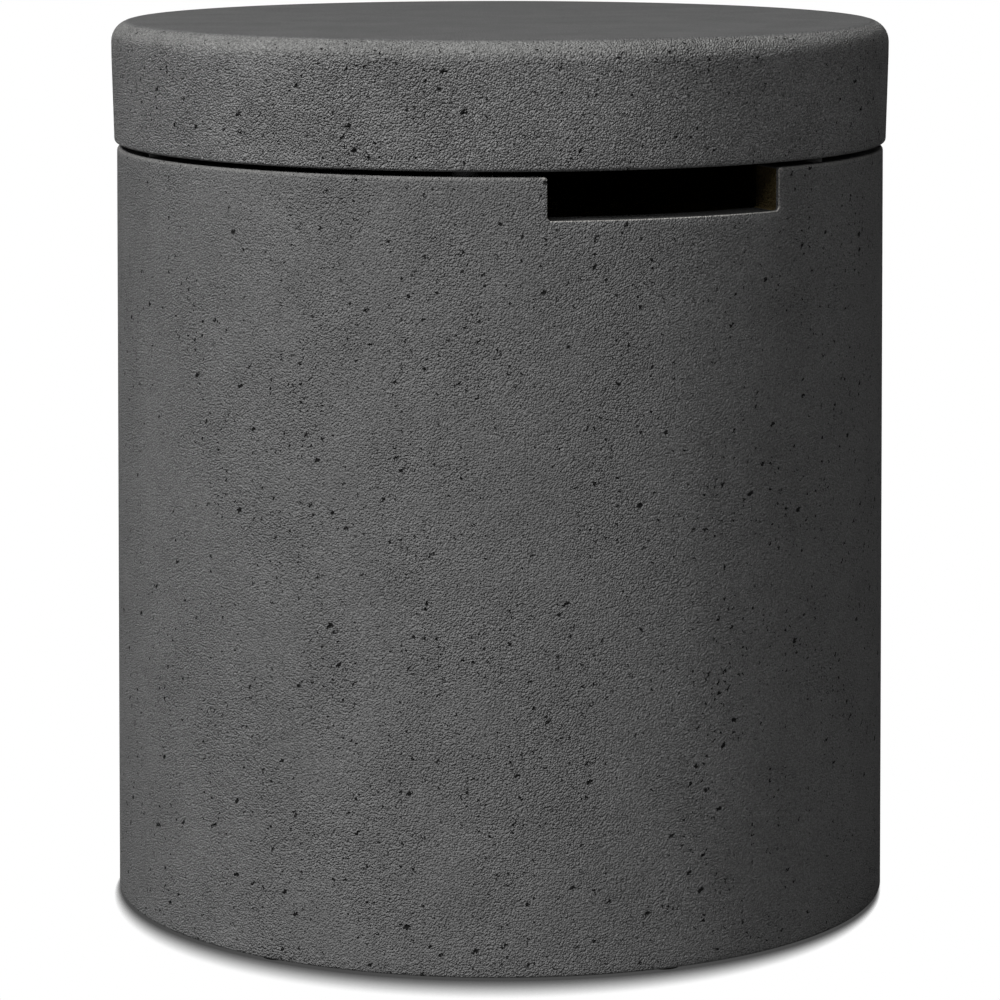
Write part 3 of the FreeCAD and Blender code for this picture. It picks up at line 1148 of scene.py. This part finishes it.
@dataclass
class CastLid:
    """The lid: a slab with a bullnose edge and a deep skirt, hollow below, bored for the cleats' plugs."""

    bottom_z: float = 442.5 * MM
    height: float = 69.5 * MM
    radius: float = 224.7 * MM
    side_draft: float = 1 * MM
    widest_height: float = 49 * MM
    top_edge_radius: float = 12 * MM
    lower_edge_radius: float = 2.0 * MM
    slab: float = 15 * MM
    skirt_inner_radius: float = 201.7 * MM
    inner_corner_radius: float = 10 * MM
    middle_radius: float = 12 * MM
    bore_radius: float = 4.05 * MM
    bore_length: float = 13 * MM
    bore_z: float = 461.5 * MM
    columns: int = 392
    row: float = 3.2 * MM
    pit_sizes: tuple[PitSize, ...] = (
        PitSize(count=30, radius=1.2 * MM, depth=1.0 * MM, segments=2, seed=23),
        PitSize(count=140, radius=0.85 * MM, depth=0.8 * MM, segments=2, seed=22),
        PitSize(count=520, radius=0.6 * MM, depth=0.55 * MM, segments=1, seed=21),
    )

    @property
    def top_z(self) -> float:
        """Height of the table's top."""
        return self.bottom_z + self.height

    def corners(self) -> list[Corner]:
        """Section of the lid, from the middle of its underside round to the middle of its top."""
        under = self.top_z - self.slab
        return [
            Corner(self.middle_radius, under),
            Corner(self.skirt_inner_radius, under, self.inner_corner_radius, 6),
            Corner(self.skirt_inner_radius, self.bottom_z, self.lower_edge_radius, 3),
            Corner(self.radius - self.side_draft, self.bottom_z, self.lower_edge_radius, 4),
            Corner(self.radius, self.bottom_z + self.widest_height),
            Corner(self.radius, self.top_z, self.top_edge_radius, 9),
            Corner(self.middle_radius, self.top_z),
        ]

    def bore_tools(self, angles: list[float]) -> list[bpy.types.Object]:
        """Rods that cut the bores for the cleats' plugs, at places in degrees from the front."""
        tools = []
        for angle in angles:
            start = front_point(self.skirt_inner_radius - PAST, angle, self.bore_z)
            end = front_point(self.skirt_inner_radius + self.bore_length, angle, self.bore_z)
            tools.append(add_rod(self.bore_radius, (start, end), BORE_CORNERS))
        return tools

    def may_hold_pit(self, point: Vector) -> bool:
        """Whether a point lies on the side or the bullnose, clear of the lower edge and the flat top."""
        outside = radius_of(point) > self.radius - 0.8 * self.top_edge_radius
        return outside and self.bottom_z + 5 * MM < point.z < self.top_z - 1.5 * MM

    def build(self, bore_angles: list[float]) -> bpy.types.Object:
        """Build the lid.

        Args:
            bore_angles: Places of the bores in degrees from the front.

        Returns:
            The finished lid.
        """
        profile = turned_profile(self.corners(), closed=False)
        piece = turn_rings("lid_shell_cast", self.columns, profile)
        for z in (profile[0][1], profile[-1][1]):

            def on_middle(points: Points, _: Vector) -> bool:
                near = self.middle_radius + 1 * MM
                return all(abs(p.z - z) < CLOSE and radius_of(p) < near for p in points)

            select_where(piece, Kind.EDGE, on_middle)
            bpy.ops.mesh.edge_face_add()
        turn_faces_outward()

        def on_wall(points: Points, _: Vector) -> bool:
            return radius_of(points[0]) > self.radius - 3 * MM

        heights = sorted({round(z, 7) for r, z in profile if r > self.radius - 1.2 * MM})
        for low, high in zip(heights, heights[1:]):
            if high - low > 2 * self.row:
                subdivide_strip(piece, (low, high), self.row, on_wall)
        for size in self.pit_sizes:
            log.info("lid: %d pits of %.2f mm", size.sink(piece, self.may_hold_pit), size.radius / MM)
        bpy.ops.object.mode_set(mode="OBJECT")
        cut_with(piece, self.bore_tools(bore_angles))
        bpy.ops.object.mode_set(mode="EDIT")
        close_and_shade(piece)
        face = ShellFace(
            foot_radius=self.radius - self.side_draft, foot_z=self.bottom_z, top_radius=self.radius,
            top_z=self.top_z, coat=16 * MM, open_above=self.top_z - 2 * MM, trowelled=True)
        finish = CastConcrete(
            name="lid_cast_concrete", face=face, face_colour="#767676", sand_height=2.2 * MM, grit_tone=0.8)
        give_material(piece, finish.build())
        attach(piece, Body.LID.value)
        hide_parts("lid_shell")
        return piece


@dataclass
class RubberDisc:
    """A moulded rubber disc set in a round recess, with a moulded ring on each face."""

    name: str
    radius: float
    low_z: float
    high_z: float
    circle_radius: float
    angles: list[float]
    body: Body
    slot: str
    finish: MouldedPolymer
    edge: float = 0.5 * MM
    ring_width: float = 1.6 * MM
    ring_depth: float = 0.35 * MM

    def build(self) -> list[bpy.types.Object]:
        """Model one disc at the front, copy it round the circle, and return the copies."""
        low, high = (front_point(self.circle_radius, 0, z) for z in (self.low_z, self.high_z))
        model = add_rod(self.radius, (low, high), DISC_CORNERS)
        bpy.ops.object.mode_set(mode="EDIT")
        select_where(model, Kind.EDGE, lambda points, _: abs(points[0].z - points[1].z) < CLOSE)
        bpy.ops.mesh.bevel(offset=self.edge, segments=3)
        select_where(model, Kind.FACE, lambda _, normal: abs(normal.z) > 0.99)
        bpy.ops.mesh.inset(thickness=self.ring_width, use_individual=True)
        bpy.ops.mesh.inset(thickness=self.ring_depth, depth=-self.ring_depth, use_individual=True)
        bpy.ops.mesh.inset(thickness=self.ring_width, use_individual=True)
        bpy.ops.mesh.inset(thickness=self.ring_depth, depth=self.ring_depth, use_individual=True)
        close_and_shade(model)
        give_material(model, self.finish.build())
        pieces = []
        for index, angle in enumerate(self.angles, start=1):
            piece = copy_turned(model, f"{self.name}_{index}_moulded", angle)
            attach(piece, self.body.value)
            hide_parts(f"{self.name}_{index}")
            pieces.append(piece)
        bpy.data.objects.remove(model)
        return pieces


@dataclass
class Cleats:
    """The moulded blocks inside the skirt, whose tongues hang into the mouth of the body."""

    angles: list[float]
    finish: MouldedPolymer
    width: float = 50 * MM
    inner_radius: float = 186.7 * MM
    tongue_radius: float = 194.7 * MM
    outer_radius: float = 201.5 * MM
    low_z: float = 421.5 * MM
    step_z: float = 444.5 * MM
    top_z: float = 476.5 * MM
    lead_in: float = 4 * MM
    edge_radius: float = 1.5 * MM
    bevel: float = 0.6 * MM
    screw_z: float = 461.5 * MM
    screw_angle: float = 3.98
    hole_radius: float = 2.3 * MM
    seat_radius: float = 5.0 * MM
    seat_depth: float = 1.2 * MM
    pocket_low_z: float = 428.5 * MM
    pocket_high_z: float = 451 * MM
    pocket_margin: float = 1.8 * MM
    pocket_depth: float = 3 * MM
    pocket_draft: float = 0.4 * MM
    columns: int = 180

    def corners(self) -> list[Corner]:
        """Section of a cleat, round from the top of its inner face."""
        return [
            Corner(self.inner_radius, self.pocket_high_z),
            Corner(self.inner_radius, self.top_z, self.edge_radius, 3),
            Corner(self.outer_radius, self.top_z),
            Corner(self.outer_radius, self.step_z),
            Corner(self.tongue_radius, self.step_z),
            Corner(self.tongue_radius, self.low_z + self.lead_in),
            Corner(self.tongue_radius - self.lead_in, self.low_z),
            Corner(self.inner_radius, self.low_z, self.edge_radius, 3),
            Corner(self.inner_radius, self.pocket_low_z),
        ]

    def block(self) -> bpy.types.Object:
        """Cut one block from a turned ring at the front, with its ends plane and closed."""
        profile = turned_profile(self.corners(), closed=True)
        piece = turn_rings("cleat_model", self.columns, profile)
        reach = math.ceil(math.asin(self.width / 2 / self.inner_radius) * self.columns / (2 * math.pi))
        pitch = 2 * math.pi / self.columns

        def column_of(point: Vector) -> float:
            return math.atan2(point.x, -point.y) / pitch

        def is_beyond(points: Points, _: Vector) -> bool:
            return any(abs(column_of(point)) > reach + COLUMN_SLACK for point in points)

        select_where(piece, Kind.FACE, is_beyond)
        bpy.ops.mesh.delete(type="FACE")
        for side in (-1, 1):
            select_where(piece, Kind.VERT, lambda points, _: (
                abs(column_of(points[0]) - side * reach) < COLUMN_SLACK))
            bpy.ops.transform.resize(value=(0, 1, 1), center_override=(side * self.width / 2, 0, 0))

        def on_gap(points: Points, _: Vector) -> bool:
            level = abs(points[0].z - points[1].z) < CLOSE
            inner = all(abs(radius_of(p) - self.inner_radius) < 2 * MM for p in points)
            ends = (self.pocket_low_z, self.pocket_high_z)
            return level and inner and any(abs(points[0].z - z) < CLOSE for z in ends)

        select_where(piece, Kind.EDGE, on_gap)
        bpy.ops.mesh.bridge_edge_loops()
        for side in (-1, 1):
            end = side * self.width / 2
            select_where(piece, Kind.VERT, lambda points, _: abs(points[0].x - end) < CLOSE)
            bpy.ops.mesh.edge_face_add()
        turn_faces_outward()
        for side in (-1, 1):

            def in_pocket(points: Points, normal: Vector) -> bool:
                across = [side * column_of(point) for point in points]
                heights = [point.z for point in points]
                inner = normal.y > 0.9 and all(abs(radius_of(p) - self.inner_radius) < 2 * MM for p in points)
                tall = max(heights) - min(heights) > 15 * MM
                low = max(heights) < self.pocket_high_z + 0.1 * MM
                within = min(across) > -COLUMN_SLACK and max(across) < reach + COLUMN_SLACK
                return inner and tall and low and within

            select_where(piece, Kind.FACE, in_pocket)
            bpy.ops.mesh.inset(thickness=self.pocket_margin)
            bpy.ops.mesh.inset(thickness=self.pocket_draft, depth=-self.pocket_depth)
        bpy.ops.object.mode_set(mode="OBJECT")
        return piece

    def build(self) -> list[bpy.types.Object]:
        """Model one cleat, copy it to each place, and return the copies."""
        model = self.block()
        tools = []
        for side in (-1, 1):
            angle = side * self.screw_angle
            start = front_point(self.inner_radius - PAST, angle, self.screw_z)
            hole = (start, front_point(self.outer_radius + PAST, angle, self.screw_z))
            seat = (start, front_point(self.inner_radius + self.seat_depth, angle, self.screw_z))
            tools.append([add_rod(self.hole_radius, hole, BORE_CORNERS)])
            tools.append([add_rod(self.seat_radius, seat, HEAD_CORNERS)])
        for tool in tools:
            cut_with(model, tool)
        choose_only(model)
        bpy.ops.object.modifier_add(type="BEVEL")
        edge = model.modifiers[-1]
        edge.width = self.bevel
        edge.segments = 2
        edge.limit_method = "ANGLE"
        edge.angle_limit = math.radians(35)
        bpy.ops.object.modifier_apply(modifier=edge.name)
        bpy.ops.object.mode_set(mode="EDIT")
        close_and_shade(model)
        give_material(model, self.finish.build())
        pieces = []
        for index, angle in enumerate(self.angles, start=1):
            piece = copy_turned(model, f"locating_cleat_{index}_moulded", angle)
            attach(piece, Body.LID.value)
            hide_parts(f"locating_cleat_{index}")
            pieces.append(piece)
        bpy.data.objects.remove(model)
        return pieces


@dataclass
class CleatScrews:
    """Pan-head screws with a cross recess, two to a cleat."""

    angles: list[float]
    finish: StainlessSteel
    seat_radius: float = 187.9 * MM
    z: float = 461.5 * MM
    head_radius: float = 4.2 * MM
    head_height: float = 2.6 * MM
    head_round: float = 1.3 * MM
    shank_radius: float = 2.0 * MM
    length: float = 24.3 * MM
    recess_width: float = 0.9 * MM
    recess_length: float = 4.4 * MM
    recess_depth: float = 1.4 * MM
    recess_taper: float = 0.45
    tip_length: float = 2 * MM
    tip_share: float = 0.25

    def model(self) -> bpy.types.Object:
        """Model one screw at the front, its head towards the middle of the table."""
        head_end = front_point(self.seat_radius - self.head_height, 0, self.z)
        head = add_rod(self.head_radius, (front_point(self.seat_radius, 0, self.z), head_end), HEAD_CORNERS)
        bpy.ops.object.mode_set(mode="EDIT")
        select_where(head, Kind.EDGE, lambda points, _: all(
            abs(p.y - head_end.y) < CLOSE for p in points))
        bpy.ops.mesh.bevel(offset=self.head_round, segments=4)
        select_where(head, Kind.FACE, lambda points, _: all(
            abs(p.y + self.seat_radius) < CLOSE for p in points))
        bpy.ops.mesh.inset(thickness=self.head_radius - self.shank_radius)
        for reach in (self.length - self.tip_length, self.tip_length):
            bpy.ops.mesh.extrude_region_move(TRANSFORM_OT_translate={"value": (0, -reach, 0)})
        tip = front_point(self.seat_radius + self.length, 0, self.z)
        bpy.ops.transform.resize(value=(self.tip_share, 1, self.tip_share), center_override=tip)
        bpy.ops.object.mode_set(mode="OBJECT")
        for turn in (0, 1):
            deselect_objects()
            bpy.ops.mesh.primitive_cube_add(size=1, location=head_end)
            blade = bpy.context.object
            long, thin = self.recess_length, self.recess_width
            blade.scale = (long if turn else thin, 2 * self.recess_depth, thin if turn else long)
            apply_place(blade)
            bpy.ops.object.mode_set(mode="EDIT")
            select_where(blade, Kind.FACE, lambda _, normal: normal.y < -0.9)
            bpy.ops.transform.resize(
                value=(self.recess_taper, 1, self.recess_taper), center_override=head_end)
            bpy.ops.object.mode_set(mode="OBJECT")
            cut_with(head, [blade])
        bpy.ops.object.mode_set(mode="EDIT")
        close_and_shade(head, 28)
        return head

    def build(self) -> bpy.types.Object:
        """Copy the screw to each place, join the copies and return them as one piece."""
        model = self.model()
        copies = [copy_turned(model, f"screw_{index}", angle) for index, angle in enumerate(self.angles)]
        bpy.data.objects.remove(model)
        piece = join_pieces(copies)
        piece.name = "cleat_screws_headed"
        give_material(piece, self.finish.build())
        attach(piece, Body.LID.value)
        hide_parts("cleat_screws")
        return piece


@dataclass(frozen=True)
class Lamp:
    """A square soft lamp aimed at the table; its level is the light on a face turned to it, 1 being full."""

    name: str
    azimuth: float
    elevation: float
    distance: float
    size: float
    level: float

    def hang(self, aim: Vector) -> bpy.types.Object:
        """Hang the lamp and aim it at a point."""
        light = bpy.data.lights.new(self.name, "AREA")
        light.size = self.size
        light.energy = self.level * math.pi ** 2 * self.distance ** 2
        lamp = bpy.data.objects.new(self.name, light)
        bpy.context.scene.collection.objects.link(lamp)
        lift = math.radians(self.elevation)
        reach = self.distance * math.cos(lift)
        lamp.location = front_point(reach, self.azimuth, aim.z + self.distance * math.sin(lift))
        lamp.rotation_euler = (aim - lamp.location).to_track_quat("-Z", "Y").to_euler()
        return lamp


@dataclass
class Studio:
    """Camera, white floor, soft lamps and the room's own dim light."""

    camera_distance: float = 2.4671
    camera_height: float = 0.6401
    camera_azimuth: float = -24.9
    camera_pitch: float = 9.46
    lens: float = 152.42
    sensor: float = 36.0
    room_level: float = 0.06
    floor_size: float = 12.0
    floor_colour: str = "#7a7a7a"
    aim_height: float = 0.25
    shadow_azimuth: float = -30
    shadow_narrowing: float = 1.8
    shadow_reach: tuple[float, float] = (2 * MM, 35 * MM)
    shadow_stops: tuple[tuple[float, float], ...] = (
        (0.5, 0.07), (0.66, 0.20), (0.80, 0.44), (0.93, 0.72), (0.99, 1.0))
    lamps: tuple[Lamp, ...] = (
        Lamp("key_lamp", azimuth=-75, elevation=45, distance=9, size=1.9, level=1.23),
        Lamp("fill_lamp", azimuth=-21, elevation=45, distance=9, size=4.8, level=0.38),
    )

    def set_camera(self) -> None:
        """Make the camera and give it to the scene."""
        data = bpy.data.cameras.new("studio_camera")
        data.lens = self.lens
        data.sensor_width = self.sensor
        camera = bpy.data.objects.new("studio_camera", data)
        bpy.context.scene.collection.objects.link(camera)
        camera.location = front_point(self.camera_distance, self.camera_azimuth, self.camera_height)
        camera.rotation_euler = (math.radians(90 - self.camera_pitch), 0, math.radians(self.camera_azimuth))
        bpy.context.scene.camera = camera

    def light_room(self) -> None:
        """Make the world white to the camera and in reflections, and a dim light otherwise."""
        world = bpy.data.worlds.new("studio_room")
        bpy.context.scene.world = world
        world.use_nodes = True
        tree = world.node_tree
        tree.nodes.clear()
        level = remap(tree, seen_directly(tree), (0.0, 1.0), (self.room_level, 1.0))
        back = add_node(tree, "Background", {"Color": (1, 1, 1, 1), "Strength": level})
        add_node(tree, "OutputWorld", {"Surface": back.outputs[0]})

    def lay_floor(self) -> bpy.types.Object:
        """Lay the white floor, which darkens only where the table shuts out the light close by."""
        deselect_objects()
        bpy.ops.mesh.primitive_plane_add(size=self.floor_size)
        floor = bpy.context.object
        floor.name = "studio_floor"
        material, tree = new_material("studio_floor_paper")
        place = add_node(tree, "TexCoord").outputs["Object"]
        forward = front_point(1, self.shadow_azimuth, 0)
        outward = compute(tree, "NORMALIZE", place, kind="VectorMath")
        facing = add_node(
            tree, "VectorMath", {0: outward, 1: forward}, operation="DOT_PRODUCT").outputs["Value"]
        facing = compute(tree, "ABSOLUTE", facing)
        facing = compute(tree, "POWER", facing, self.shadow_narrowing)
        reach = remap(tree, facing, (0.0, 1.0), self.shadow_reach)
        near = add_node(tree, "AmbientOcclusion", {"Distance": reach}, samples=16).outputs["AO"]
        ramp = add_node(tree, "ValToRGB", {0: near})
        stops = ramp.color_ramp.elements
        for position, _ in self.shadow_stops[1:-1]:
            stops.new(position)
        for stop, (position, level) in zip(stops, self.shadow_stops):
            stop.position, stop.color = position, (level, level, level, 1)
        paper = add_node(tree, "BsdfDiffuse", {"Color": linear(self.floor_colour)})
        glow = add_node(tree, "Emission", {"Color": ramp.outputs[0], "Strength": 1.0})
        both = add_node(tree, "MixShader", {0: seen_directly(tree), 1: paper.outputs[0], 2: glow.outputs[0]})
        add_node(tree, "OutputMaterial", {"Surface": both.outputs[0]})
        give_material(floor, material)
        return floor

    def build(self) -> None:
        """Set up the whole studio."""
        self.set_camera()
        self.light_room()
        self.lay_floor()
        for lamp in self.lamps:
            lamp.hang(Vector((0, 0, self.aim_height)))


def main() -> None:
    """Build the studio and the table piece by piece."""
    logging.basicConfig(level=logging.INFO, format="%(name)s: %(message)s")
    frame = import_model()
    bpy.context.scene.view_settings.view_transform = "Standard"
    Studio().build()

    bumper_angles = [PITCH / 2 + PITCH * step for step in range(6)]
    pad_angles = [PITCH * step for step in range(6)]
    cleat_angles = [PITCH * step for step in range(1, 6)]
    screw_angles = [angle + side * Cleats.screw_angle for angle in cleat_angles for side in (-1, 1)]

    pieces = [CastBody().build(bumper_angles, pad_angles), CastLid().build(screw_angles)]
    rubber = MouldedPolymer(
        name="bumper_moulded_rubber", colour="#161616", worn_colour="#201f1e", roughness=0.8,
        grain_size=0.6 * MM, grain_height=0.03 * MM)
    pieces += RubberDisc(
        name="lid_bumper", radius=7 * MM, low_z=438.5 * MM, high_z=442.5 * MM, circle_radius=209.7 * MM,
        angles=bumper_angles, body=Body.BASE, slot="bumper_rubber", finish=rubber).build()
    pad_rubber = MouldedPolymer(
        name="pad_moulded_rubber", colour="#1e1e1e", worn_colour="#3a3835", roughness=0.85,
        grain_size=0.8 * MM, grain_height=0.04 * MM)
    pieces += RubberDisc(
        name="foot_pad", radius=9 * MM, low_z=0.0, high_z=3 * MM, circle_radius=215 * MM,
        angles=pad_angles, body=Body.BASE, slot="pad_rubber", finish=pad_rubber).build()
    plastic = MouldedPolymer(
        name="cleat_moulded_polypropylene", colour="#2b2c2e", worn_colour="#35363a", roughness=0.5,
        grain_size=0.5 * MM, grain_height=0.02 * MM)
    pieces += Cleats(angles=cleat_angles, finish=plastic).build()
    pieces.append(CleatScrews(angles=screw_angles, finish=StainlessSteel("screw_stainless_steel")).build())
    nylon = MouldedPolymer(
        name="anchor_moulded_nylon", colour="#8e8f8c", worn_colour="#9d9c96", roughness=0.45,
        grain_size=0.6 * MM, grain_height=0.02 * MM)
    give_material(frame["nodes"]["screw_anchors"], nylon.build())
    pieces.append(frame["nodes"]["screw_anchors"])

    for piece in pieces:
        piece.data.calc_loop_triangles()
        log.info("%s: %d triangles, finish %s", piece.name, len(piece.data.loop_triangles),
                 piece.data.materials[0].name)


if __name__ == "__main__":
    main()
